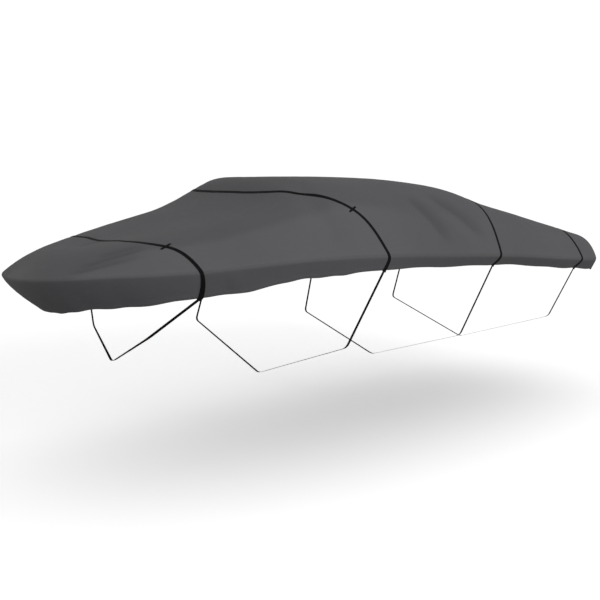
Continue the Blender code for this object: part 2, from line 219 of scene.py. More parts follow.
# %% Sections
BOW_TO_ORIGIN = 2.30
HEM_TO_ORIGIN = 0.8836
Section = namedtuple(
    "Section", "edge_x edge_y edge_z spine_x crown_z fullness hem_aft hem_in hem_drop"
)
SECTIONS = np.array([  # each row in the order of Section's fields
    (0.02, 0.000, 0.248, 0.55, 0.435, 2.4, 0.250, 0.000, 0.232),
    (0.045, 0.165, 0.252, 0.57, 0.435, 2.5, 0.235, 0.045, 0.229),
    (0.11, 0.315, 0.259, 0.60, 0.435, 2.8, 0.215, 0.080, 0.225),
    (0.22, 0.453, 0.267, 0.66, 0.440, 3.4, 0.200, 0.110, 0.218),
    (0.40, 0.570, 0.275, 0.76, 0.460, 4.5, 0.170, 0.110, 0.210),
    (0.65, 0.690, 0.279, 0.90, 0.492, 5.6, 0.100, 0.090, 0.196),
    (0.95, 0.800, 0.287, 1.08, 0.540, 6.0, 0.040, 0.080, 0.177),
    (1.25, 0.890, 0.305, 1.32, 0.600, 5.5, 0.010, 0.070, 0.165),
    (1.50, 0.950, 0.319, 1.52, 0.662, 5.0, 0.000, 0.060, 0.142),
    (1.72, 0.990, 0.327, 1.73, 0.751, 4.6, 0.000, 0.056, 0.132),
    (1.92, 1.020, 0.330, 1.92, 0.872, 3.6, 0.000, 0.053, 0.124),
    (2.12, 1.040, 0.327, 2.12, 0.887, 5.0, 0.000, 0.050, 0.117),
    (2.60, 1.065, 0.312, 2.60, 0.885, 5.0, 0.000, 0.046, 0.104),
    (3.10, 1.080, 0.283, 3.10, 0.865, 5.0, 0.000, 0.042, 0.086),
    (3.60, 1.083, 0.255, 3.60, 0.805, 5.0, 0.000, 0.042, 0.083),
    (4.10, 1.080, 0.220, 4.06, 0.685, 5.0, 0.000, 0.042, 0.083),
    (4.60, 1.075, 0.175, 4.50, 0.585, 5.0, 0.000, 0.042, 0.083),
    (5.00, 1.070, 0.140, 4.88, 0.488, 6.0, 0.000, 0.042, 0.090),
    (5.30, 1.062, 0.118, 5.10, 0.392, 9.5, -0.010, 0.042, 0.099),
    (5.50, 0.995, 0.110, 5.18, 0.350, 12.0, -0.035, 0.038, 0.101),
    (5.58, 0.830, 0.108, 5.24, 0.342, 10.0, -0.045, 0.018, 0.101),
    (5.615, 0.485, 0.107, 5.27, 0.336, 8.0, -0.045, 0.004, 0.100),
    (5.62, 0.000, 0.107, 5.28, 0.335, 7.0, -0.045, 0.000, 0.100),
])
LAST_SECTION = len(SECTIONS) - 1
# past either end the table goes on as its own mirror image
MIRROR = np.array([-1.0 if name in ("edge_y", "hem_in") else 1.0 for name in Section._fields])
WHOLE_TABLE = np.vstack([SECTIONS[1] * MIRROR, SECTIONS, SECTIONS[-2] * MIRROR])


def section_at(along):
    """The values of the table at fractional places along it, as a Section of arrays."""
    along = np.clip(along, 0.0, LAST_SECTION)
    index = np.minimum(along.astype(int), LAST_SECTION - 1)
    part = (along - index)[..., None]
    a, b, c, d = (WHOLE_TABLE[index + step] for step in range(4))
    values = 0.5 * (
        2.0 * b
        + (c - a) * part
        + (2.0 * a - 5.0 * b + 4.0 * c - d) * part**2
        + (3.0 * b - a - 3.0 * c + d) * part**3
    )
    return Section(*np.moveaxis(values, -1, 0))


print("sections:", len(SECTIONS))

# %% The taut cloth
HEM_WAVE = 0.005
HEM_SLOW_TURNS = 2.1
HEM_QUICK_TURNS = 5.3
HEM_QUICK_SHARE = 0.6
HEM_CALM_ENDS = 2.0
NOSE_CURL = 1.4
SPINE_STEP = 0.05
SPINE_REACH = 0.25
CROWN_SECTION = 11.4


def smooth_step(value):
    value = np.clip(value, 0.0, 1.0)
    return value * value * (3.0 - 2.0 * value)


def ramp(values, start, length):
    """A soft step from 0 to 1 that begins at start and takes length."""
    return smooth_step((values - start) / length)


def spine_lift(along, across):
    """How far the cloth is raised near the spine, where swept sections leave a valley."""
    near, here, far = (section_at(along + step) for step in (-SPINE_STEP, 0.0, SPINE_STEP))
    valley = (far.crown_z - near.crown_z) * (here.spine_x - here.edge_x)
    valley = valley / (far.spine_x - near.spine_x)
    return valley * SPINE_REACH * (1.0 - across) * np.exp(-across / SPINE_REACH)


def to_frame(x, y, z):
    return np.moveaxis(np.stack([x - BOW_TO_ORIGIN, y, z - HEM_TO_ORIGIN]), 0, -1)


def taut_cloth(along, across, side):
    """Points of the cloth with no sag or fold: across 0 is the spine, 1 the edge, 2 the hem."""
    here = section_at(along)
    top = np.minimum(across, 1.0)
    down = np.maximum(across - 1.0, 0.0)
    wave = np.sin(HEM_SLOW_TURNS * along + side)
    wave += HEM_QUICK_SHARE * np.sin(HEM_QUICK_TURNS * along - 2.0 * side)
    calm_bow = smooth_step(along / HEM_CALM_ENDS)
    wave *= calm_bow * smooth_step((LAST_SECTION - along) / HEM_CALM_ENDS)
    x = here.spine_x + (here.edge_x - here.spine_x) * top + here.hem_aft * down**NOSE_CURL
    y = here.edge_y * top - here.hem_in * down
    z = here.edge_z + (here.crown_z - here.edge_z) * (1.0 - top**here.fullness)
    z += spine_lift(along, top) - (here.hem_drop + HEM_WAVE * wave) * down
    return to_frame(x, side * np.maximum(y, 0.0), z)


middle_of_crown = taut_cloth(np.array(CROWN_SECTION), np.array(0.0), 1.0)
print("cloth over the origin:", np.round(middle_of_crown, 3))

# %% [markdown]
# ## The straps' lines
#
# Four straps cross the cover. Each line is a smooth curve through a few
# (across, section) points, square at the spine, and the strap's width is
# measured square to it. The grid of the fine cloth is laid so that every strap
# lies exactly on its rows. Webbing that lies on the rows of the cloth can never
# cut into it, however the cloth sags, because both are lifted from the same
# points.

# %% Strap lines
OVER_STRAP_WIDTH = 0.025
LINE_STEP = 0.05
Strap = namedtuple(
    "Strap", "name line slant belly flare tab_past_hem side_turn low_point keeper_across"
)
BOW_LINE = [(0.0, 3.1), (0.3, 4.2), (0.5, 4.55), (0.7, 5.0), (0.86, 5.55), (1.0, 5.9)]
FORE_LINE = [(0.0, 9.2), (0.4, 9.3), (0.6, 9.8), (0.7, 10.4), (0.85, 11.25), (1.0, 11.63)]
AFT_LINE = [(0.0, 14.76), (0.72, 14.54), (1.0, 14.36)]
STERN_LINE = [(0.0, 19.2), (0.3, 18.3), (0.5, 17.97), (0.85, 17.42), (1.0, 17.37)]
STRAPS = [Strap(*row) for row in (
    ("bow", BOW_LINE, 0.000, 0.016, 0.80, 0.020, (0.800, 0.350, -0.175), (0.73, -0.377), 0.80),
    ("fore", FORE_LINE, 0.010, 0.010, 0.20, 0.010, (2.122, 0.900, -0.338), (2.06, -0.655), 0.84),
    ("aft", AFT_LINE, 0.070, 0.012, 0.05, 0.008, (3.447, 0.920, -0.402), (3.40, -0.685), None),
    ("stern", STERN_LINE, 0.085, 0.005, 0.00, 0.008, (4.76, 0.940, -0.380), (4.70, -0.680), None),
)]
SIDES = {"port": -1, "starboard": 1}


def strap_station(strap, across):
    """The section that a strap's smooth line has reached at places across the cover."""
    line = np.array(strap.line)
    across = np.minimum(across, 1.0)
    here, past = section_at(line[0, 1]), section_at(line[0, 1] + SPINE_STEP)
    square = SPINE_STEP * (here.spine_x - here.edge_x) / (past.spine_x - here.spine_x)
    inner = (line[2:, 1] - line[:-2, 1]) / (line[2:, 0] - line[:-2, 0])
    last = (line[-1, 1] - line[-2, 1]) / (line[-1, 0] - line[-2, 0])
    slope = np.concatenate([[square], inner, [last]])
    number = np.clip(np.searchsorted(line[:, 0], across) - 1, 0, len(line) - 2)
    (start, first), (end, second) = line[number].T, line[number + 1].T
    part = (across - start) / (end - start)
    leave = part * (1.0 - part) ** 2 * slope[number]
    arrive = part**2 * (1.0 - part) * slope[number + 1]
    return first + (second - first) * smooth_step(part) + (leave - arrive) * (end - start)


def strap_edge(strap, across, offset):
    """A strap's line moved fore or aft by a distance square to the strap's run."""
    along = strap_station(strap, across)
    span = taut_cloth(along + LINE_STEP, across, 1.0) - taut_cloth(along - LINE_STEP, across, 1.0)
    near = np.maximum(np.minimum(across, 1.0) - LINE_STEP, 0.0)
    far = np.minimum(across + LINE_STEP, 1.0)
    run = taut_cloth(strap_station(strap, far), far, 1.0)
    run = run - taut_cloth(strap_station(strap, near), near, 1.0)
    length = np.linalg.norm(span, axis=-1)
    square = np.linalg.norm(np.cross(span, run), axis=-1) / np.linalg.norm(run, axis=-1)
    down = np.maximum(across - 1.0, 0.0)
    shift = offset * length / square + strap.belly * 4.0 * down * (1.0 - down) - strap.slant * down
    return along + shift * 2.0 * LINE_STEP / length


print("straps:", [strap.name for strap in STRAPS])

# %% Rows and columns of the fine cloth
ROWS_PER_METRE = 45.0
TOP_COLUMNS = 58
EDGE_CROWDING = 1.35
SKIRT_SHARES = np.array([0.02, 0.06, 0.14, 0.26, 0.42, 0.58, 0.74])
SKIRT_FILL = 0.86
HEM_WIDTH = 0.022
HEM_SHOULDER = 0.004
HEM_LINES = np.array([HEM_WIDTH + HEM_SHOULDER, HEM_WIDTH, 0.019, 0.010, 0.003, 0.0])
EDGE_COLUMN = TOP_COLUMNS
TOP_ACROSS = 1.0 - (1.0 - np.arange(TOP_COLUMNS + 1) / TOP_COLUMNS) ** EDGE_CROWDING


def columns_at(edge_station):
    """Across values of one row. The hem's columns keep their real distance from the hem."""
    here = section_at(np.array(edge_station))
    skirt = math.hypot(float(here.hem_drop), float(here.hem_in), float(here.hem_aft))
    upper = SKIRT_SHARES / SKIRT_SHARES[-1] * SKIRT_FILL * (skirt - HEM_LINES[0]) / skirt
    return np.concatenate([TOP_ACROSS, 1.0 + upper, 2.0 - HEM_LINES / skirt])


def lay_rows():
    """Along and across values of the whole grid, and the first row of each strap."""
    across = columns_at(0.0)
    rows, strap_rows = [(np.zeros_like(across), across)], {}
    half = OVER_STRAP_WIDTH / 2.0
    for strap in STRAPS + [None]:
        station = strap.line[-1][1] if strap else float(LAST_SECTION)
        across = columns_at(station)
        target = strap_edge(strap, across, -half) if strap else np.full_like(across, station)
        start = rows[-1][0]
        gap = taut_cloth(target[EDGE_COLUMN], 1.0, 1.0) - taut_cloth(start[EDGE_COLUMN], 1.0, 1.0)
        count = max(2, round(float(np.linalg.norm(gap)) * ROWS_PER_METRE))
        for step in range(1, count + 1):
            row = start + (target - start) * step / count
            rows.append((row, columns_at(row[EDGE_COLUMN])))
        if strap:
            strap_rows[strap.name] = len(rows) - 1
            rows += [(strap_edge(strap, across, offset), across) for offset in (0.0, half)]
    return np.moveaxis(np.array(rows), 1, 0), strap_rows


def both_sides(starboard, port):
    """One grid from hem to hem, with the spine's column only once."""
    return np.concatenate([starboard[:, :0:-1], port], axis=1)


(half_along, half_across), strap_rows = lay_rows()
LAST_ROW, HEM_COLUMN = half_along.shape[0] - 1, half_along.shape[1] - 1
along_grid = both_sides(half_along, half_along)
across_grid = both_sides(half_across, half_across)
side_grid = both_sides(np.ones_like(half_along), -np.ones_like(half_along))
print("grid:", along_grid.shape, "strap rows:", strap_rows)

# %% [markdown]
# ## Sag, folds and puckers
#
# Taut cloth is never quite smooth. Five things move it off the drawn form: a
# slow sag over what it covers, folds where it has slack or is pulled by a
# strap, a groove that each strap presses, the puckers that thread draws into a
# seam and a hem, and a fine crumple. Each is a depth along the cloth's own
# normal, in metres, so they simply add up.

# %% Folds
FOLD_STEPS = 16
FOLD_FADE = 0.3
# Between two (section, across) points. Positive depth is a trough, negative a ridge.
Fold = namedtuple("Fold", "side start end depth width")
FOLDS = [Fold(*fold) for fold in (
    # creases that fan out from the bow strap's keeper towards the bow tip
    (-1, (5.08, 0.76), (2.70, 0.875), 0.013, 0.026),
    (-1, (5.00, 0.80), (2.60, 0.91), -0.007, 0.026),
    (-1, (4.95, 0.84), (2.40, 0.945), 0.010, 0.022),
    (-1, (5.05, 0.90), (2.20, 0.975), -0.006, 0.024),
    (-1, (4.90, 0.70), (3.40, 0.76), 0.006, 0.024),
    (+1, (5.00, 0.82), (2.60, 0.88), 0.009, 0.018),
    (+1, (4.90, 0.90), (3.10, 0.96), -0.005, 0.020),
    (+1, (4.80, 0.70), (3.30, 0.66), 0.005, 0.022),
    # slack folds that fall aft and down between the two middle straps
    (-1, (12.50, 0.74), (13.15, 0.985), 0.022, 0.060),
    (-1, (13.00, 0.70), (14.18, 0.965), 0.024, 0.065),
    (-1, (12.95, 0.84), (13.65, 0.975), -0.010, 0.055),
    (+1, (12.90, 0.70), (13.75, 0.95), 0.017, 0.060),
    (+1, (12.30, 0.78), (12.80, 0.97), 0.012, 0.050),
    (+1, (15.20, 0.76), (15.85, 0.95), 0.014, 0.055),
    # soft ridges where the corners of the raised middle push the cloth out
    (-1, (5.60, 0.87), (10.70, 0.81), -0.016, 0.150),
    (+1, (5.60, 0.86), (10.40, 0.81), -0.014, 0.150),
    # the skirt puckers behind the bow strap's tab
    (-1, (6.55, 1.05), (6.75, 1.90), -0.007, 0.040),
    (+1, (6.70, 1.05), (6.90, 1.90), -0.006, 0.040),
)]


def fold_relief(places, fold):
    """How far one fold moves each point of the cloth, in metres along the normal."""
    along, across = np.linspace(fold.start, fold.end, FOLD_STEPS + 1).T
    path = taut_cloth(along, across, float(fold.side))
    nearest = np.full(places.shape[:-1], np.inf)
    reached = np.zeros(places.shape[:-1])
    for number in range(FOLD_STEPS):
        start, run = path[number], path[number + 1] - path[number]
        part = np.clip((places - start) @ run / (run @ run), 0.0, 1.0)
        distance = np.linalg.norm(places - start - part[..., None] * run, axis=-1)
        closer = distance < nearest
        nearest[closer] = distance[closer]
        reached[closer] = (number + part[closer]) / FOLD_STEPS
    ends = smooth_step(reached / FOLD_FADE) * smooth_step((1.0 - reached) / FOLD_FADE)
    return -fold.depth * ends * np.exp(-((nearest / fold.width) ** 2))


print("folds:", len(FOLDS))

# %% Distances run along the cloth
def steps_of(points):
    return np.linalg.norm(np.diff(points, axis=0), axis=-1)


def run_length(points):
    return float(steps_of(points).sum())


def run_along(points):
    """Distance run from the first point to each of the others."""
    return np.concatenate([[0.0], np.cumsum(steps_of(points))])


def row_distance(places):
    """Distance run along the edge from the bow tip to each row."""
    return run_along(places[:, HEM_COLUMN + EDGE_COLUMN])


def column_distance(places):
    """Distance run from the spine to each point, along its own row."""
    steps = steps_of(np.moveaxis(places, 1, 0)).T
    out = np.cumsum(steps[:, HEM_COLUMN:], axis=1)
    back = np.cumsum(steps[:, :HEM_COLUMN][:, ::-1], axis=1)[:, ::-1]
    return np.concatenate([back, np.zeros((len(places), 1)), out], axis=1)


print("distances are measured along the cloth, as a tailor would")

# %% Sag, grooves, puckers and crumple
SAG_DEPTH, SAG_SCALE, SAG_SEED = 0.005, 1.7, 0.0
CRUMPLE_DEPTH, CRUMPLE_SCALE, CRUMPLE_SEED = 0.0010, 9.0, 40.0
STRAP_GROOVE = 0.0025
STRAP_GROOVE_REACH = 0.045
HEM_RISE = 0.0012
Pucker = namedtuple("Pucker", "depth pitch seed side_shift")
EDGE_PUCKER = Pucker(0.0028, 0.075, 3.0, 0.3)
HEM_PUCKER = Pucker(0.0022, 0.11, 9.0, 0.2)
PUCKER_REACH = 0.045
PUCKER_AFT_LOSS = 0.65
PUCKER_EASE = (0.6, 2.0)


def pucker(kind, run, from_line):
    """Short uneven ripples across a sewn line, fading away from it."""
    spots = (run + kind.side_shift * side_grid) / kind.pitch
    ripple = [noise.noise(Vector((spot, kind.seed, 0.0))) for spot in spots.ravel()]
    ripple = np.array(ripple).reshape(run.shape)
    return kind.depth * ripple * np.exp(-((from_line / PUCKER_REACH) ** 2))


def strap_groove(places):
    """The shallow groove that the straps press into the top of the cloth."""
    groove = np.zeros(places.shape[:-1])
    for first in strap_rows.values():
        distance = np.linalg.norm(places - places[None, first + 1], axis=-1)
        groove -= STRAP_GROOVE * np.exp(-((distance / STRAP_GROOVE_REACH) ** 2))
    return groove


def noise_at(places, scale, seed):
    """Smooth noise from -1 to 1 at every point of a grid."""
    flat = places.reshape(-1, 3) * scale + seed
    return np.array([noise.noise(Vector(place)) for place in flat]).reshape(places.shape[:-1])


def relief_of(places):
    """All the small moves of the cloth, in metres along its normal."""
    run = row_distance(places)[:, None] + 0.0 * across_grid
    down = column_distance(places)
    edge, hem = down[:, [HEM_COLUMN + EDGE_COLUMN]], down[:, [-1]]
    relief = SAG_DEPTH * noise_at(places, SAG_SCALE, SAG_SEED)
    relief += CRUMPLE_DEPTH * noise_at(places, CRUMPLE_SCALE, CRUMPLE_SEED)
    relief += sum(fold_relief(places, fold) for fold in FOLDS) + strap_groove(places)
    by_bow = 1.0 - PUCKER_AFT_LOSS * ramp(run, *PUCKER_EASE)
    relief += by_bow * pucker(EDGE_PUCKER, run, down - edge) + pucker(HEM_PUCKER, run, down - hem)
    turned = smooth_step((HEM_LINES[0] - (hem - down)) / HEM_SHOULDER)
    return relief + HEM_RISE * turned


print("a strap presses", STRAP_GROOVE * 1000.0, "mm into the cloth")

# %% [markdown]
# ## The fine cloth
#
# The grid is filled row by row. The first and the last row lie on the middle
# line, so port and starboard share their points there, and the sheet is closed
# at bow and stern. Cloth doesn't fold sharply over what it covers, so the edge
# is rounded: tightly at the bow, more softly aft and under each strap. The hem
# is the last 22 mm, turned up and sewn, so it stands a little proud. `Solidify`
# then gives the sheet one thickness of cloth.

# %% Place every point
CLOTH_THICKNESS = 0.0025
BOW_SOFTNESS = 0.008
EDGE_SOFTNESS = 0.026
SOFTNESS_EASE = (1.6, 1.4)
STRAP_SOFTNESS = 0.028
STRAP_SOFT_REACH = 0.07
FULL_SOFT_REACH = 2.0
SHARE_OF_WAY_TO_HEM = 0.9
SPREAD = np.linspace(-1.0, 1.0, 9)


def unit(vectors):
    length = np.linalg.norm(vectors, axis=-1, keepdims=True)
    return vectors / np.maximum(length, 1e-12)


def grid_normals(places):
    """Outward normals of a grid of points."""
    return unit(np.cross(np.gradient(places, axis=1), np.gradient(places, axis=0)))


def soften_edge(places):
    """Rounds the edge: near it, each point becomes the mean of its row on both sides."""
    down, run = column_distance(places), row_distance(places)
    softness = BOW_SOFTNESS + (EDGE_SOFTNESS - BOW_SOFTNESS) * ramp(run, *SOFTNESS_EASE)
    for first in strap_rows.values():
        pulled = np.exp(-(((run - run[first + 1]) / STRAP_SOFT_REACH) ** 2))
        softness = np.maximum(softness, STRAP_SOFTNESS * pulled)
    soft = places.copy()
    for row, reach in enumerate(softness):
        across = -side_grid[row] * down[row]
        from_edge = np.abs(down[row] - down[row, HEM_COLUMN + EDGE_COLUMN])
        to_hem = down[row, -1] - down[row]
        width = reach * smooth_step(FULL_SOFT_REACH - from_edge / reach)
        width = np.minimum(width, SHARE_OF_WAY_TO_HEM * to_hem)
        for axis in range(3):
            line = places[row, :, axis]
            spread = [np.interp(across + width * share, across, line) for share in SPREAD]
            soft[row, :, axis] = np.mean(spread, axis=0)
    return soft


taut = soften_edge(taut_cloth(along_grid, across_grid, side_grid))
places = taut + grid_normals(taut) * relief_of(taut)[..., None]
for row in (0, LAST_ROW):
    places[row] = (places[row] + places[row, ::-1] * [1.0, -1.0, 1.0]) / 2.0
    places[row, :, 1] = 0.0
places[:, HEM_COLUMN, 1] = 0.0
normals = grid_normals(places)
print("cloth:", places.reshape(-1, 3).min(0).round(3), places.reshape(-1, 3).max(0).round(3))

# %% Sew the grid into one sheet
def own_map(mesh, name, values):
    """Writes one UV map from a list of (u, v) for each face corner."""
    layer = mesh.uv_layers.new(name=name)
    layer.data.foreach_set("uv", np.array(values, dtype=np.float32).ravel())


def own_mask(mesh, name, values):
    """Writes one number for each vertex, which a material can read by name."""
    attribute = mesh.attributes.new(name, "FLOAT", "POINT")
    attribute.data.foreach_set("value", np.array(values, dtype=np.float32).ravel())


def link_piece(name, mesh, material=None):
    """A finished piece: at the origin, smooth, with its material, riding the part."""
    if material:
        mesh.materials.append(material)
    mesh.shade_smooth()
    piece = new_object(name, mesh)
    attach(piece, "root")
    return piece


def corners_of(grid):
    """The four corners of each face of a grid, in order round the face."""
    return np.stack([grid[:-1, :-1], grid[:-1, 1:], grid[1:, 1:], grid[1:, :-1]], axis=2)


def sheet_mesh(name, points, flat_map, masks):
    """A mesh from a grid of points, with shared points on the two end rows."""
    rows, columns = points.shape[:2]
    number = np.arange(rows * columns).reshape(rows, columns)
    for row in (0, rows - 1):
        number[row] = np.minimum(number[row], number[row, ::-1])
    used, faces = np.unique(corners_of(number).reshape(-1, 4), return_inverse=True)
    mesh = bpy.data.meshes.new(name)
    mesh.from_pydata(points.reshape(-1, 3)[used].tolist(), [], faces.reshape(-1, 4).tolist())
    mesh.update()
    own_map(mesh, "cut", corners_of(flat_map))
    for title, values in masks.items():
        own_mask(mesh, title, values.ravel()[used])
    return mesh


# Besides wear and dust, the masks carry painted light and painted shade.
print("a sheet carries its flat cut as a UV map, and its wear as masks")

# %% Where the cloth is rubbed and dusty, and where light and shade are painted
SKIRT_START = 0.02
EDGE_RUB_REACH = 0.035
TOP_RUB = (-0.10, 0.10)
TOP_RUB_SHARE = 0.5
# Painted highlight: the bow tip is painted paler, through the same mask as the rubbed cloth.
BOW_TIP = (-2.27, 0.0, -0.62)
TIP_REACH = 0.16
TIP_HIGHLIGHT_SHARE = 5.0
# Painted shade: the cloth is painted darker in the troughs of the folds, and on the skirt, more so
# towards the stern.
HOLLOW_PAINTED_SHADE = 0.75
SKIRT_SHADE_EASE = (-0.9, 3.0)
# (section, across) points of the upper limit of the side that painted light makes paler
LIT_SIDE_LINE = [
    (2.6, 0.93), (3.8, 0.85), (4.85, 0.79), (5.6, 0.83), (6.5, 0.84),
    (7.4, 0.815), (8.8, 0.80), (10.95, 0.81), (12.5, 0.85),
]
LIT_SIDE_SOFTNESS = 0.07
LIT_SIDE_STARTS = (2.4, 1.2)
LIT_SIDE_WEAKENS = (11.2, 2.0)
LIT_SIDE_AFT_LOSS = 0.75

run = row_distance(places)[:, None] + 0.0 * across_grid
down = column_distance(places)
beyond_edge = down - down[:, [HEM_COLUMN + EDGE_COLUMN]]
cut_along = np.where(across_grid > 1.0, run, places[..., 0])
cut_map = np.stack([cut_along, -side_grid * down], axis=-1)
skirt = smooth_step(beyond_edge / SKIRT_START)
rub = np.exp(-((beyond_edge / EDGE_RUB_REACH) ** 2)) * (1.0 - skirt)
rub += TOP_RUB_SHARE * ramp(places[..., 2], *TOP_RUB)
to_tip = np.linalg.norm(places - BOW_TIP, axis=-1)
# painted highlight on the bow tip
rub += TIP_HIGHLIGHT_SHARE * np.exp(-((to_tip / TIP_REACH) ** 2))
troughs = [fold for fold in FOLDS if fold.depth > 0.0]
# painted shade in the fold troughs and on the skirt, darker towards the stern
hollow = sum(np.maximum(-fold_relief(taut, fold) / fold.depth, 0.0) for fold in troughs)
grime = HOLLOW_PAINTED_SHADE * hollow + skirt * ramp(places[..., 0], *SKIRT_SHADE_EASE)
# painted light: the side between this line and the edge is painted paler, less so aft
lit_side_from = np.interp(along_grid, *np.transpose(LIT_SIDE_LINE))
faded = smooth_step((across_grid - lit_side_from) / LIT_SIDE_SOFTNESS + 0.5) * (1.0 - skirt)
faded *= ramp(along_grid, *LIT_SIDE_STARTS) * (1.0 - LIT_SIDE_AFT_LOSS * ramp(along_grid, *LIT_SIDE_WEAKENS))
masks = {
    "rub": np.clip(rub, 0.0, TIP_HIGHLIGHT_SHARE),
    "grime": np.clip(grime, 0.0, 1.0),
    "faded": faded,
    "facing_up": np.maximum(normals[..., 2], 0.0),
}
cover_mesh = sheet_mesh("cover_cloth", places, cut_map, masks)
print("cloth faces:", len(cover_mesh.polygons))

# %% [markdown]
# ## The finishes
# The cloth is a coated polyester in a plain weave, a little under a millimetre
# from thread to thread. It is matt, so what a viewer sees first is not the
# weave but its unevenness: slow clouds where the dye and the weather differ,
# a little grey dust on what faces up, and paler cloth where it rubs. Light and
# shade are painted into the colour too: a painted highlight on the bow tip,
# painted light that makes the side just above the edge paler, less so aft,
# and painted shade that darkens the troughs of the folds and the skirt, more
# towards the stern. Where these lie comes from the masks that the sheet
# carries. Each pattern is a node group that the materials share. The inside
# is coated, smoother and a little paler.

# %% Groups that the finishes share
THREADS_PER_METRE = 1250.0
RAISED_TONE = 0.7
SLOW_CLOUDS, QUICK_CLOUDS = 1.6, 22.0
CLOUD_DETAIL = {"Slow": 3.0, "Quick": 5.0}


def new_group(name, numbers, outputs):
    """A shader group that takes a vector and some numbers, and gives out numbers."""
    group = bpy.data.node_groups.new(name, "ShaderNodeTree")
    sockets = group.interface
    sockets.new_socket("Vector", in_out="INPUT", socket_type="NodeSocketVector")
    for title, value in numbers.items():
        socket = sockets.new_socket(title, in_out="INPUT", socket_type="NodeSocketFloat")
        socket.default_value = value
    for title in outputs:
        sockets.new_socket(title, in_out="OUTPUT", socket_type="NodeSocketFloat")
    return group, add_node(group, "NodeGroupInput").outputs, add_node(group, "NodeGroupOutput")


def split_vector(group, vector):
    split = add_node(group, "ShaderNodeSeparateXYZ", {0: vector}).outputs
    return split["X"], split["Y"]


def wave_of(group, count, turn):
    return calculate(group, "SINE", calculate(group, "MULTIPLY", count, turn))


def plain_weave_group():
    """Threads that pass over and under each other: a height and a tone for each."""
    numbers = {"Threads per Metre": THREADS_PER_METRE}
    group, given, end = new_group("plain weave", numbers, ("Height", "Tone"))
    threads = {0: given["Vector"], "Scale": given["Threads per Metre"]}
    threads = add_node(group, "ShaderNodeVectorMath", threads, operation="SCALE").outputs[0]
    ways = split_vector(group, threads)
    warp, weft = (calculate(group, "ABSOLUTE", wave_of(group, way, math.pi)) for way in ways)
    cell = calculate(group, "ADD", *(calculate(group, "FLOOR", way) for way in ways))
    over = calculate(group, "PINGPONG", cell, 1.0)
    height = {"Factor": over, "A": warp, "B": weft}
    height = add_node(group, "ShaderNodeMix", height, data_type="FLOAT").outputs["Result"]
    tone = scaled(group, over, 1.0 - RAISED_TONE, scaled(group, height, RAISED_TONE))
    feed(group, end, {"Height": height, "Tone": tone})
    return group


def clouds_group():
    """Slow and quick unevenness of a surface, each from 0 to 1."""
    numbers = {"Slow Scale": SLOW_CLOUDS, "Quick Scale": QUICK_CLOUDS}
    group, given, end = new_group("clouds", numbers, ("Slow", "Quick"))
    for title, detail in CLOUD_DETAIL.items():
        inputs = {"Vector": given["Vector"], "Scale": given[title + " Scale"], "Detail": detail}
        pattern = add_node(group, "ShaderNodeTexNoise", inputs)
        feed(group, end, {title: pattern.outputs["Fac"]})
    return group


plain_weave = plain_weave_group()
clouds = clouds_group()
print("groups:", plain_weave.name, "and", clouds.name)

# %% Parts of a finish
def clouds_in(tree, slow=SLOW_CLOUDS, quick=QUICK_CLOUDS):
    """The slow and the quick clouds, laid in the object's own space."""
    place = add_node(tree, "ShaderNodeTexCoord").outputs["Object"]
    inputs = {"Vector": place, "Slow Scale": slow, "Quick Scale": quick}
    cloud = add_node(tree, "ShaderNodeGroup", inputs, node_tree=clouds).outputs
    return cloud["Slow"], cloud["Quick"]


def woven_in(tree, group, map_name):
    """A weave's outputs, laid on a UV map in metres."""
    threads = add_node(tree, "ShaderNodeUVMap", uv_map=map_name).outputs["UV"]
    return add_node(tree, "ShaderNodeGroup", {"Vector": threads}, node_tree=group).outputs


def mask(tree, name):
    return add_node(tree, "ShaderNodeAttribute", attribute_name=name).outputs["Fac"]


def bump(tree, height, distance, strength, **normal):
    inputs = {"Height": height, "Distance": distance, "Strength": strength, **normal}
    return add_node(tree, "ShaderNodeBump", inputs).outputs["Normal"]


def start_material(name, **plain):
    """A new material, its tree and its shader, with the shader's plain numbers set."""
    material = bpy.data.materials.new(name)
    material.use_nodes = True
    tree = material.node_tree
    shader = tree.nodes["Principled BSDF"]
    for title, value in plain.items():
        shader.inputs[title.replace("_", " ")].default_value = value
    return material, tree, shader


print("parts of a finish: clouds, a weave, masks and bump")

# %% Charcoal cloth
CLOTH_DARK = (0.083, 0.083, 0.089, 1.0)
CLOTH_PALE = (0.106, 0.106, 0.111, 1.0)
# the colour of dust and wear, also used for the painted highlight on the bow tip
CLOTH_DUST_AND_HIGHLIGHT = (0.150, 0.148, 0.143, 1.0)
# the colour of the painted shade in the fold troughs and on the after skirt
CLOTH_PAINTED_SHADE = (0.062, 0.062, 0.065, 1.0)
# the colour of the painted light on the side
CLOTH_PAINTED_LIGHT = (0.128, 0.128, 0.134, 1.0)
SLOW_SHARE, THREAD_SHARE = 0.7, 0.3
RUB_AND_HIGHLIGHT_SHARE, DUST_SHARE = 0.10, 0.06
PAINTED_LIGHT_LEAST, PAINTED_SHADE_LEAST, PATCHINESS = 0.3, 0.4, 0.3
CLOTH_ROUGHNESS, CLOTH_ROUGHNESS_RANGE = 0.72, 0.12
WEAVE_DEPTH, WEAVE_STRENGTH = 0.00025, 0.6
CRINKLE_DEPTH, CRINKLE_STRENGTH = 0.004, 0.35


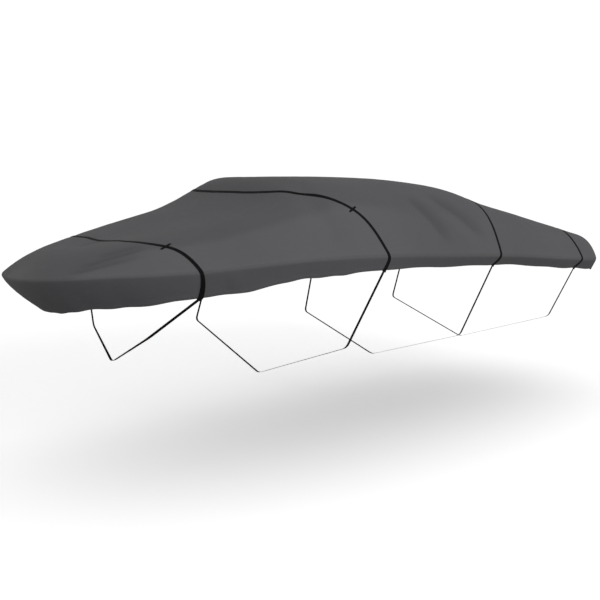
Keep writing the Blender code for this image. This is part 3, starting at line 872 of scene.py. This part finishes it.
def charcoal_cloth():
    material, tree, shader = start_material(
        "charcoal_cloth", Specular_IOR_Level=0.08, Sheen_Weight=0.02, Sheen_Roughness=0.5
    )
    weave = woven_in(tree, plain_weave, "cut")
    slow, quick = clouds_in(tree)
    tone = scaled(tree, slow, SLOW_SHARE, scaled(tree, quick, 1.0 - SLOW_SHARE))
    thread_tone = scaled(tree, weave["Tone"], THREAD_SHARE, -THREAD_SHARE / 2.0)
    tone = calculate(tree, "ADD", tone, thread_tone)
    cloth = blend_colours(tree, tone, CLOTH_DARK, CLOTH_PALE)
    settled = calculate(tree, "MULTIPLY", mask(tree, "facing_up"), quick)
    # dust, wear, and the painted highlight on the bow tip
    dust_rub_and_highlight = scaled(tree, mask(tree, "rub"), RUB_AND_HIGHLIGHT_SHARE, scaled(tree, settled, DUST_SHARE))
    cloth = blend_colours(tree, dust_rub_and_highlight, cloth, CLOTH_DUST_AND_HIGHLIGHT)
    # painted light on the side near the edge, and painted shade in the fold troughs and on the
    # after skirt
    for name, cloud, least, colour in (
        ("faded", slow, PAINTED_LIGHT_LEAST, CLOTH_PAINTED_LIGHT),
        ("grime", quick, PAINTED_SHADE_LEAST, CLOTH_PAINTED_SHADE),
    ):
        patchy = scaled(tree, cloud, PATCHINESS, least)
        share = calculate(tree, "MULTIPLY", mask(tree, name), patchy)
        cloth = blend_colours(tree, share, cloth, colour)
    crinkle = bump(tree, quick, CRINKLE_DEPTH, CRINKLE_STRENGTH)
    feed(tree, shader, {
        "Base Color": cloth,
        "Roughness": scaled(tree, quick, CLOTH_ROUGHNESS_RANGE, CLOTH_ROUGHNESS),
        "Normal": bump(tree, weave["Height"], WEAVE_DEPTH, WEAVE_STRENGTH, Normal=crinkle),
    })
    return material


cloth_finish = charcoal_cloth()
print("finish:", cloth_finish.name)

# %% The coating inside
COATING_DARK = (0.070, 0.070, 0.073, 1.0)
COATING_PALE = (0.110, 0.110, 0.113, 1.0)
COATING_ROUGHNESS, COATING_ROUGHNESS_RANGE = 0.5, 0.2
COATING_STRENGTH = 0.4


def coated_inside():
    """The polyurethane coating on the inside: paler and smoother than the weave."""
    material, tree, shader = start_material("coated_inside")
    slow, quick = clouds_in(tree)
    feed(tree, shader, {
        "Base Color": blend_colours(tree, quick, COATING_DARK, COATING_PALE),
        "Roughness": scaled(tree, slow, COATING_ROUGHNESS_RANGE, COATING_ROUGHNESS),
        "Normal": bump(tree, quick, CRINKLE_DEPTH, COATING_STRENGTH),
    })
    return material


inside_finish = coated_inside()
print("finish:", inside_finish.name)

# %% The cloth gets its thickness
cover = link_piece("cover_cloth", cover_mesh, cloth_finish)
cover_mesh.materials.append(inside_finish)
solid = cover.modifiers.new("thickness", "SOLIDIFY")
solid.thickness = CLOTH_THICKNESS
solid.offset = -1.0
solid.use_even_offset = False
solid.use_rim = True
solid.material_offset = 1
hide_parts("cover")
print("cover:", cover.name)

# %% [markdown]
# ## Webbing
#
# Flat webbing is woven thick, with a rounded edge on each side. A ribbon of
# faces with Solidify would have sharp edges, so each band is laid here as one
# rounded section that travels along its route. Over the cloth, the section
# rides on the cloth's own rows, lifted by half a millimetre.

# %% One rounded section of webbing
WEBBING_THICKNESS = 0.002
SEWN_GAP = 0.0005
FACE_POINTS = 6
TURN_POINTS = 4
SLIT_DEPTH = 0.0011


def band_section(width, thickness, layers):
    """One closed line round a band: places across it and heights, in metres."""
    layer = thickness / layers
    radius = layer / 2.0
    flat = width / 2.0 - radius
    turn = np.radians(np.linspace(-90.0, 90.0, TURN_POINTS + 2)[1:-1])
    edge_across, edge_height = [], []
    for number in range(layers):
        if number:
            edge_across.append([flat + radius - SLIT_DEPTH])
            edge_height.append([layer * number])
        edge_across.append(flat + radius * np.cos(turn))
        edge_height.append(layer * number + radius * (1.0 + np.sin(turn)))
    edge_across, edge_height = np.concatenate(edge_across), np.concatenate(edge_height)
    face = np.linspace(-flat, flat, FACE_POINTS)
    across = np.concatenate([face, edge_across, face[::-1], -edge_across[::-1]])
    height = np.concatenate([0.0 * face, edge_height, thickness + 0.0 * face, edge_height[::-1]])
    return across, height


section = band_section(OVER_STRAP_WIDTH, WEBBING_THICKNESS, 1)
print("points round a strap:", len(section[0]))

# %% A band along a route
END_STEPS = 4
LONGEST_END = 0.9
FLATTEST_END = 0.2
SEAM_OF_MAP = 1e-5


def ease_ends(lines, radius):
    """Adds close stations at both ends, and says how flat the section is at each."""
    turn = np.radians(np.linspace(0.0, 90.0, END_STEPS + 1))
    ends = []
    for last, next_to_last in ((0, 1), (-1, -2)):
        length = np.linalg.norm(lines[1, next_to_last, :3] - lines[1, last, :3])
        back = np.minimum(radius * (1.0 - np.sin(turn)) / length, LONGEST_END)[:, None]
        end, beside = lines[:, last, None], lines[:, next_to_last, None]
        ends.append(end + (beside - end) * back)
    lines = np.concatenate([ends[0][:, ::-1], lines[:, 1:-1], ends[1]], axis=1)
    flatness = np.ones(lines.shape[1])
    flatness[:END_STEPS + 1] = np.cos(turn)[::-1]
    flatness[-END_STEPS - 1:] = np.cos(turn)
    return lines, np.maximum(flatness, FLATTEST_END)


def turn_outwards(mesh):
    """Turns a closed mesh inside out if its faces point inwards."""
    shape = bmesh.new()
    shape.from_mesh(mesh)
    inside_out = shape.calc_volume(signed=True) < 0.0
    shape.free()
    if inside_out:
        mesh.flip_normals()


def band_mesh(name, base, up, width, thickness, layers=1, lift=0.0):
    """A closed band over three lines of points: its fore edge, middle and aft edge."""
    lift = np.broadcast_to(lift, base.shape[1:2])
    lift = np.broadcast_to(lift[None, :, None], base.shape[:2] + (1,))
    lines, flatness = ease_ends(np.concatenate([base, up, lift], axis=-1), thickness / 2.0)
    base, up, lift = lines[..., :3], unit(lines[..., 3:6]), lines[1, :, 6]
    across, height = band_section(width, thickness, layers)
    share = np.clip(across / (width / 2.0), -1.0, 1.0)
    weights = np.stack([np.maximum(-share, 0.0), 1.0 - np.abs(share), np.maximum(share, 0.0)])
    height = thickness / 2.0 + (height - thickness / 2.0) * flatness[:, None] + lift[:, None]
    points = np.einsum("ls,lnk->nsk", weights, base)
    points += np.einsum("ls,lnk->nsk", weights, up) * height[..., None]

    stations, ring = points.shape[:2]
    number = np.arange(stations * ring).reshape(stations, ring)
    after = np.roll(number, -1, axis=1)
    quads = np.stack([number[:-1], after[:-1], after[1:], number[1:]], axis=-1).reshape(-1, 4)
    mesh = bpy.data.meshes.new(name)
    caps = [number[0, ::-1].tolist(), number[-1].tolist()]
    mesh.from_pydata(points.reshape(-1, 3).tolist(), [], quads.tolist() + caps)

    run = run_along(base[1])
    steps = np.abs(np.diff(across, append=across[0])) + SEAM_OF_MAP
    round_it = np.concatenate([[0.0], np.cumsum(steps)])
    u = np.stack([round_it[:-1], round_it[1:], round_it[1:], round_it[:-1]], axis=-1)
    v = np.stack([run[:-1], run[:-1], run[1:], run[1:]], axis=-1)[:, None]
    flat_map = np.stack([np.broadcast_to(way, (stations - 1, ring, 4)) for way in (u, v)], axis=-1)
    cap_map = np.stack([across, 0.0 * across], axis=-1)
    end_map = cap_map + [0.0, run[-1]]
    own_map(mesh, "weave", np.concatenate([flat_map.reshape(-1, 2), cap_map[::-1], end_map]))
    turn_outwards(mesh)
    return mesh


print("a band is closed, and its weave runs along it")

# %% Black webbing
WEBBING_DARK = (0.0030, 0.0030, 0.0033, 1.0)
WEBBING_PALE = (0.0090, 0.0090, 0.0096, 1.0)
WEBBING_DUST = (0.030, 0.029, 0.028, 1.0)
WEBBING_CLOUDS = (5.0, 60.0)
WEBBING_ROUGHNESS, WEBBING_ROUGHNESS_RANGE = 0.5, 0.2
RIBS_PER_METRE = 650.0
RIB_DEPTH, RIB_STRENGTH = 0.00035, 0.8
RIB_SHARPNESS = 0.4
RIB_SHARE, CLOUD_SHARE, TONE_SHIFT = 0.6, 0.5, -0.1


def ribs_group():
    """Webbing's own weave: rows of ribs that step aside from one column to the next."""
    numbers = {"Ribs per Metre": RIBS_PER_METRE}
    group, given, end = new_group("webbing ribs", numbers, ("Height", "Tone"))
    ways = split_vector(group, given["Vector"])
    across, along = (calculate(group, "MULTIPLY", way, given["Ribs per Metre"]) for way in ways)
    step = calculate(group, "MULTIPLY", calculate(group, "FLOOR", across), 0.5)
    rib = wave_of(group, calculate(group, "ADD", along, step), math.tau)
    column = wave_of(group, calculate(group, "FRACT", across), math.pi)
    column = calculate(group, "POWER", column, RIB_SHARPNESS)
    height = calculate(group, "MULTIPLY", scaled(group, rib, 0.5, 0.5), column)
    feed(group, end, {"Height": height, "Tone": height})
    return group


def black_webbing():
    material, tree, shader = start_material("black_webbing", Specular_IOR_Level=0.04)
    rib = woven_in(tree, ribs_group(), "weave")
    slow, quick = clouds_in(tree, *WEBBING_CLOUDS)
    tone = scaled(tree, rib["Tone"], RIB_SHARE, scaled(tree, slow, CLOUD_SHARE, TONE_SHIFT))
    yarn = blend_colours(tree, tone, WEBBING_DARK, WEBBING_PALE)
    dusty = calculate(tree, "MULTIPLY", quick, DUST_SHARE)
    feed(tree, shader, {
        "Base Color": blend_colours(tree, dusty, yarn, WEBBING_DUST),
        "Roughness": scaled(tree, quick, WEBBING_ROUGHNESS_RANGE, WEBBING_ROUGHNESS),
        "Normal": bump(tree, rib["Height"], RIB_DEPTH, RIB_STRENGTH),
    })
    return material


webbing_finish = black_webbing()
print("finish:", webbing_finish.name)

# %% [markdown]
# ## Stitches
#
# Thread is what shows that webbing is sewn on and not glued. A stitch is a short
# rounded bead that lies in line with the seam. A cover has thousands of them, so
# they are a job for Geometry Nodes: the script gives the seam's path, and the
# tree lays one bead at every step, turned along the path. No two stitches are
# quite as long, which a fixed seed decides. Each bead has only twenty faces.

# %% The stitch tree
STITCH_RANGE = {"Min": 0.82, "Max": 1.08}
BEAD_FACES = 20
STITCH_SOCKETS = {
    "Geometry": "Geometry", "Pitch": "Float", "Length": "Float",
    "Width": "Float", "Seed": "Int", "Thread": "Material",
}


def stitch_tree():
    """Lays one bead of thread at every step along each path of a mesh of edges."""
    tree = bpy.data.node_groups.new("stitches", "GeometryNodeTree")
    for title, kind in STITCH_SOCKETS.items():
        tree.interface.new_socket(title, in_out="INPUT", socket_type="NodeSocket" + kind)
    tree.interface.new_socket("Geometry", in_out="OUTPUT", socket_type="NodeSocketGeometry")
    given = add_node(tree, "NodeGroupInput").outputs
    curve = add_node(tree, "GeometryNodeMeshToCurve", {"Mesh": given["Geometry"]}).outputs["Curve"]
    steps = {"Curve": curve, "Length": given["Pitch"]}
    steps = add_node(tree, "GeometryNodeCurveToPoints", steps, mode="LENGTH").outputs
    ahead = {"Vector": steps["Tangent"]}
    turn = add_node(tree, "FunctionNodeAlignRotationToVector", ahead, axis="Z").outputs["Rotation"]
    chance = add_node(tree, "FunctionNodeRandomValue", {"Seed": given["Seed"]}, data_type="FLOAT")
    for socket in chance.inputs:
        if socket.type == "VALUE" and socket.name in STITCH_RANGE:
            socket.default_value = STITCH_RANGE[socket.name]
    varied = next(socket for socket in chance.outputs if socket.type == "VALUE")
    half_width, half_length = (scaled(tree, given[way], 0.5) for way in ("Width", "Length"))
    half_length = calculate(tree, "MULTIPLY", half_length, varied)
    size = {"X": half_width, "Y": half_width, "Z": half_length}
    size = add_node(tree, "ShaderNodeCombineXYZ", size).outputs[0]
    bead = add_node(tree, "GeometryNodeMeshIcoSphere", {"Radius": 1.0, "Subdivisions": 1})
    lay = add_node(tree, "GeometryNodeInstanceOnPoints", {
        "Points": steps["Points"], "Instance": bead.outputs["Mesh"],
        "Rotation": turn, "Scale": size,
    })
    real = add_node(tree, "GeometryNodeRealizeInstances", {"Geometry": lay.outputs["Instances"]})
    finish = {"Geometry": real.outputs["Geometry"], "Material": given["Thread"]}
    finish = add_node(tree, "GeometryNodeSetMaterial", finish).outputs["Geometry"]
    add_node(tree, "NodeGroupOutput", {"Geometry": finish})
    return tree


stitches = stitch_tree()
print("stitch tree:", len(stitches.nodes), "nodes")

# %% Thread
THREAD_DARK = (0.014, 0.014, 0.015, 1.0)
THREAD_PALE = (0.034, 0.034, 0.036, 1.0)
THREAD_CLOUDS = (9.0, 700.0)
THREAD_ROUGHNESS, THREAD_ROUGHNESS_RANGE = 0.35, 0.2


def black_thread():
    material, tree, shader = start_material("black_thread", Specular_IOR_Level=0.3)
    slow, quick = clouds_in(tree, *THREAD_CLOUDS)
    feed(tree, shader, {
        "Base Color": blend_colours(tree, quick, THREAD_DARK, THREAD_PALE),
        "Roughness": scaled(tree, slow, THREAD_ROUGHNESS_RANGE, THREAD_ROUGHNESS),
    })
    return material


thread_finish = black_thread()
print("finish:", thread_finish.name)

# %% Sewing along a path
STITCH_VALUES = {
    "Pitch": 0.0065, "Length": 0.0050, "Width": 0.0010, "Seed": 7, "Thread": thread_finish,
}


def sew(name, paths):
    """Stitches along some paths, as one plain mesh."""
    guide_mesh = bpy.data.meshes.new(name + "_paths")
    first, edges = 0, []
    for path in paths:
        edges += [(first + step, first + step + 1) for step in range(len(path) - 1)]
        first += len(path)
    guide_mesh.from_pydata(np.concatenate(paths).tolist(), edges, [])
    guide = new_object(name + "_guide", guide_mesh)
    modifier = guide.modifiers.new("stitches", "NODES")
    modifier.node_group = stitches
    for socket in stitches.interface.items_tree:
        if socket.in_out == "INPUT" and socket.name in STITCH_VALUES:
            modifier[socket.identifier] = STITCH_VALUES[socket.name]
    sewn = guide.evaluated_get(bpy.context.evaluated_depsgraph_get())
    mesh = bpy.data.meshes.new_from_object(sewn)
    mesh.name = name
    guide.modifiers.remove(modifier)
    bpy.data.objects.remove(guide)
    bpy.data.meshes.remove(guide_mesh)
    piece = link_piece(name, mesh)
    return piece


print("a stitch every", STITCH_VALUES["Pitch"] * 1000.0, "mm")

# %% Seams of the cloth
HEM_STITCH = 0.018
EDGE_STITCHES = (-0.004, -0.011)
STITCH_LIFT = 0.0001


def seam_path(side, from_edge=None, from_hem=None):
    """A path along the cloth, a fixed distance beyond its edge or short of its hem."""
    ways = slice(HEM_COLUMN, None) if side < 0 else slice(HEM_COLUMN, None, -1)
    path = []
    for row in range(len(places)):
        run, spots = down[row, ways], places[row, ways] + normals[row, ways] * STITCH_LIFT
        at = run[EDGE_COLUMN] + from_edge if from_hem is None else run[-1] - from_hem
        path.append([np.interp(at, run, spots[:, axis]) for axis in range(3)])
    return np.array(path)


hem_paths = [seam_path(side, from_hem=HEM_STITCH) for side in SIDES.values()]
edge_paths = [seam_path(side, from_edge=off) for side in SIDES.values() for off in EDGE_STITCHES]
hem_stitches = sew("stitches_hem", hem_paths)
edge_stitches = sew("stitches_edge", edge_paths)
for seam in (hem_stitches, edge_stitches):
    print(seam.name, len(seam.data.polygons) // BEAD_FACES)

# %% [markdown]
# ## The straps over the top
#
# Each over-strap is sewn flat to the cloth from the port edge to the starboard
# edge. Its three lines of points are three rows of the cloth itself.

# %% Over-straps
STITCH_INSET = 0.0035


def add_webbing(node, base, up, width, thickness, rests_on, seams=(), **form):
    """Makes one webbing piece, which stands for a solid, with its stitches."""
    mesh = band_mesh(node, base, up, width, thickness, **form)
    piece = link_piece("webbing_" + node, mesh, webbing_finish)
    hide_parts(node)
    sewn = [sew("stitches_" + node, seams)] if seams else []


def band_path(base, up, spots, width, lift):
    """A path on top of a band, through (across, along) spots in metres."""
    run = run_along(base[1])
    path = []
    for across, along in spots:
        share = across / (width / 2.0)
        lines = [
            np.array([np.interp(along, run, (line + normal * lift)[:, axis]) for axis in range(3)])
            for line, normal in zip(base, up)
        ]
        side = lines[2] if share > 0.0 else lines[0]
        path.append(lines[1] * (1.0 - abs(share)) + side * abs(share))
    return np.array(path)


def side_paths(base, up, width, lift, inset=STITCH_INSET):
    """The two long seams of a band, just inside its edges."""
    along = np.linspace(inset, run_length(base[1]) - inset, max(3, len(base[1])))
    off = width / 2.0 - STITCH_INSET
    seams = [[(side * off, at) for at in along] for side in (-1, 1)]
    return [band_path(base, up, seam, width, lift) for seam in seams]


reach = slice(HEM_COLUMN - EDGE_COLUMN, HEM_COLUMN + EDGE_COLUMN + 1)
size = (OVER_STRAP_WIDTH, WEBBING_THICKNESS)
for strap in STRAPS:
    rows = slice(strap_rows[strap.name], strap_rows[strap.name] + 3)
    base, up = places[rows, reach], normals[rows, reach]
    seams = side_paths(base, up, OVER_STRAP_WIDTH, SEWN_GAP + WEBBING_THICKNESS)
    add_webbing("over_strap_" + strap.name, base, up, *size, [cover], seams, lift=SEWN_GAP)

# %% [markdown]
# ## Tabs
#
# A tab is webbing folded back on itself, so it is two layers thick, with a slit
# between them along both sides and a round fold at the lower end. It is sewn
# over the skirt and reaches past the hem, where it turns towards the tie's pull.

# %% Tabs
TAB_WIDTH = 0.038
TAB_THICKNESS = 0.0045
BUTT_GAP = 0.0004
CROSS_START = 0.007
CROSS_LENGTH = 0.034
CROSS_SHARE = 0.6
CROSS_INSET = 0.002
CROSS_POINTS = 7


def width_vector(strap, direction, y):
    """The fore-and-aft direction with the strap's flare, squared to its own run."""
    share = min(max(y / strap.side_turn[1], -1.0), 1.0)
    aft = np.array([1.0, strap.flare * share, 0.0])
    return unit(aft - direction * aft.dot(direction))


def side_turn(strap, side):
    x, y, z = strap.side_turn
    return to_frame(x, side * y, z)


def lay_tab(strap, side):
    """The tab's three lines, its outward directions, and where its tie leaves it."""
    first = strap_rows[strap.name]
    edge, hem = HEM_COLUMN - side * EDGE_COLUMN, HEM_COLUMN - side * HEM_COLUMN
    columns = np.arange(edge, hem - side, -side)
    up = normals[first:first + 3, columns]
    base = places[first:first + 3, columns] + up * SEWN_GAP
    middle = base[1]
    down = across_grid[first + 1, columns] - 1.0
    width = OVER_STRAP_WIDTH + (TAB_WIDTH - OVER_STRAP_WIDTH) * down[:, None]
    half = unit(base[2] - base[0]) * width / 2.0
    base = np.stack([middle - half, middle, middle + half])
    base[:, 0] += unit(middle[1] - middle[0]) * BUTT_GAP
    pull = unit(side_turn(strap, side) - middle[-1])
    end = middle[-1] + pull * strap.tab_past_hem
    half = width_vector(strap, pull, end[1]) * TAB_WIDTH / 2.0
    outward = np.cross(pull, half) * -side
    base = np.concatenate([base, np.stack([end - half, end, end + half])[:, None]], axis=1)
    up = np.concatenate([up, np.broadcast_to(unit(outward), (3, 1, 3))], axis=1)
    return base, up, end + pull * BUTT_GAP


def tab_seams(base, up):
    """Two long seams, a bar at each end, and a cross at the upper end."""
    length = run_length(base[1])
    off = TAB_WIDTH / 2.0 - STITCH_INSET - CROSS_INSET
    near, far = CROSS_START, min(CROSS_START + CROSS_LENGTH, length * CROSS_SHARE)
    low = length - near
    seams = side_paths(base, up, TAB_WIDTH, TAB_THICKNESS, inset=CROSS_START)
    for start, end in ((near, near), (far, far), (near, far), (far, near), (low, low)):
        spots = np.linspace((-off, start), (off, end), CROSS_POINTS)
        seams.append(band_path(base, up, spots, TAB_WIDTH, TAB_THICKNESS))
    return seams


tie_ends = {}
for strap in STRAPS:
    for side_name, side in SIDES.items():
        base, up, tie_ends[strap.name, side] = lay_tab(strap, side)
        node, size = "tab_" + strap.name + "_" + side_name, (TAB_WIDTH, TAB_THICKNESS)
        add_webbing(node, base, up, *size, [cover], tab_seams(base, up), layers=2)

# %% [markdown]
# ## Ties
#
# A tie is narrower webbing, drawn tight from the port tab, down and under, to
# the starboard tab. It is a straight run between a few turns, and every turn is
# eased with a short curve, since webbing under tension doesn't crease there.

# %% Ties
TIE_WIDTH = 0.020
TIE_CORNER = 0.035
TIE_TUCK = 0.004
CURVE_STEPS = 8


def eased(before, corner, after):
    """Points on a short curve round a corner."""
    start = corner + unit(before - corner) * TIE_CORNER
    end = corner + unit(after - corner) * TIE_CORNER
    part = np.linspace(0.0, 1.0, CURVE_STEPS + 1)[:, None]
    return start * (1.0 - part) ** 2 + 2.0 * corner * part * (1.0 - part) + end * part**2


def lay_tie(strap):
    """The tie's three lines of points from tab to tab, and its outward directions."""
    x, z = strap.low_point
    turns = [
        tie_ends[strap.name, -1], side_turn(strap, -1), to_frame(x, 0.0, z),
        side_turn(strap, 1), tie_ends[strap.name, 1],
    ]
    tucks = [
        [end - unit(beside - end) * TIE_TUCK] for end, beside in (turns[:2], turns[:-3:-1])
    ]
    curves = [eased(*turns[first:first + 3]) for first in range(3)]
    route = np.concatenate([tucks[0], *curves, tucks[1]])
    ahead = unit(np.gradient(route, axis=0))
    across = np.array([width_vector(strap, run, spot[1]) for run, spot in zip(ahead, route)])
    half = across * TIE_WIDTH / 2.0
    base = np.stack([route - half, route, route + half])
    return base, np.broadcast_to(np.cross(ahead, across), base.shape)


for strap in STRAPS:
    tabs = ["webbing_tab_" + strap.name + "_" + side_name for side_name in SIDES]
    add_webbing("tie_" + strap.name, *lay_tie(strap), TIE_WIDTH, WEBBING_THICKNESS, tabs)

# %% [markdown]
# ## Keepers
#
# A keeper is a short bridge of narrow webbing across the strap, sewn down fore
# and aft of it. It lies a little askew, with its aft end turned inboard.

# %% Keepers
KEEPER_LENGTH = 0.086
KEEPER_WIDTH = 0.015
KEEPER_THICKNESS = 0.0015
KEEPER_SLOPE = 0.005
KEEPER_OVERHANG = 0.002
KEEPER_TURN = 0.5
KEEPER_GAP = 0.0009
KEEPER_STATIONS = 25
TACK_REACH = 0.0055
TACKS = (0.004, 0.009)


def on_grid(grid, row, column):
    """Values of a grid at fractional rows and columns."""
    low_row = np.minimum(row.astype(int), grid.shape[0] - 2)
    low_column = np.minimum(column.astype(int), grid.shape[1] - 2)
    part, share = (row - low_row)[..., None], (column - low_column)[..., None]
    near, far = (
        grid[line, low_column] * (1.0 - share) + grid[line, low_column + 1] * share
        for line in (low_row, low_row + 1)
    )
    return near * (1.0 - part) + far * part


def lay_keeper(strap, side):
    """The keeper's three lines, its outward directions, and how high it stands."""
    middle_row = strap_rows[strap.name] + 1
    column = np.interp(strap.keeper_across, TOP_ACROSS, np.arange(TOP_COLUMNS + 1))
    column = HEM_COLUMN - side * column
    whole = int(column)
    run = run_along(places[:, whole])
    inboard = places[middle_row, whole + side] - places[middle_row, whole]
    aft = places[middle_row + 1, whole] - places[middle_row - 1, whole]
    spacing = np.linalg.norm(inboard)
    lean = unit(aft).dot(unit(inboard))
    aft_share = 1.0 / math.sqrt(1.0 + 2.0 * KEEPER_TURN * lean + KEEPER_TURN**2)
    square_share = aft_share * math.sqrt(1.0 - lean**2)
    distance = np.linspace(-KEEPER_LENGTH / 2.0, KEEPER_LENGTH / 2.0, KEEPER_STATIONS)
    rows = np.interp(run[middle_row] + aft_share * distance, run, np.arange(len(run)))
    columns = column + side * KEEPER_TURN * aft_share * distance / spacing
    half = KEEPER_WIDTH / 2.0 / square_share / spacing
    lines = [columns - half, columns, columns + half]
    base = np.stack([on_grid(places, rows, line) for line in lines])
    up = np.stack([unit(on_grid(normals, rows, line)) for line in lines])
    bridge = (OVER_STRAP_WIDTH / 2.0 + KEEPER_OVERHANG) / square_share
    raised = smooth_step((bridge + KEEPER_SLOPE - np.abs(distance)) / KEEPER_SLOPE)
    return base, up, KEEPER_GAP + raised * (SEWN_GAP + WEBBING_THICKNESS)


for strap in (strap for strap in STRAPS if strap.keeper_across):
    for side_name, side in SIDES.items():
        base, up, lift = lay_keeper(strap, side)
        length = run_length(base[1])
        tacks = []
        for along in TACKS + tuple(length - tack for tack in TACKS[::-1]):
            spots = [(across, along) for across in (-TACK_REACH, 0.0, TACK_REACH)]
            tacks.append(band_path(base, up, spots, KEEPER_WIDTH, KEEPER_GAP + KEEPER_THICKNESS))
        node, size = "keeper_" + strap.name + "_" + side_name, (KEEPER_WIDTH, KEEPER_THICKNESS)
        add_webbing(node, base, up, *size, [cover], tacks, lift=lift)

seams = [hem_stitches, edge_stitches]
